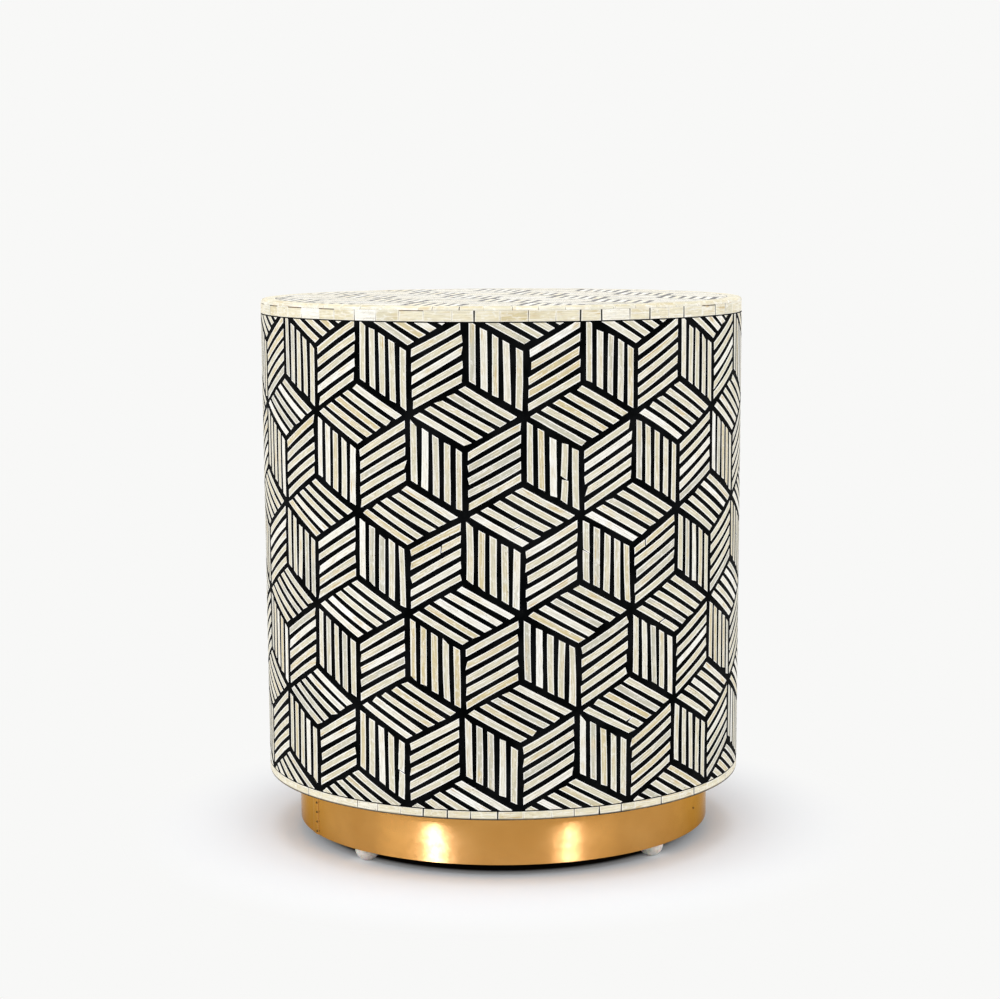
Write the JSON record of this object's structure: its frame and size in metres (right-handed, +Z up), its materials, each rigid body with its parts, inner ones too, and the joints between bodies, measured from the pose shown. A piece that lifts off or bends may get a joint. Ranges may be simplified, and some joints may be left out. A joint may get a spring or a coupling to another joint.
{
  "type": "drum side table",
  "caption": "Round drum side table with a tumbling block inlay of bone strips in black resin, on a recessed plinth wrapped in brass sheet.",
  "frame": {"origin": "on the floor under the centre of the drum, level with the flats of the four glides", "axes": "+Z up along the drum's axis; the pictured front faces -Y; +X to the right of the picture"},
  "size_m": [0.4, 0.4, 0.45],
  "materials": {
    "bone": "camel bone, sanded flush and waxed",
    "black_resin": "cast resin with black pigment, sanded to a dull sheen",
    "brass_sheet": "polished sheet with a warm tarnish",
    "nylon": "white moulded nylon",
    "steel": "zinc plated",
    "plywood": "raw plywood",
    "softwood": "planed mango wood",
    "fibreboard": "sealed medium density fibreboard"
  },
  "bodies": {
    "root": {"glides": "nylon", "glide_nails": "steel", "plinth_ring_lower": "fibreboard", "plinth_ring_upper": "fibreboard", "plinth_screws": "steel", "brass_band": "brass_sheet", "brass_pins": "brass_sheet", "bottom_panel": "plywood", "bottom_panel_screws": "steel", "uprights": "softwood", "middle_former": "plywood", "top_panel": "plywood", "top_panel_screws": "steel", "drum_wall": "plywood", "side_resin": "black_resin", "side_strips_top_faces": "bone", "side_strips_left_faces": "bone", "side_strips_right_faces": "bone", "foot_band_blocks": "bone", "rim_band_blocks": "bone", "tabletop_resin": "black_resin", "tabletop_strips_top_faces": "bone", "tabletop_strips_left_faces": "bone", "tabletop_strips_right_faces": "bone", "tabletop_edge_blocks": "bone"}
  },
  "joints": []
}
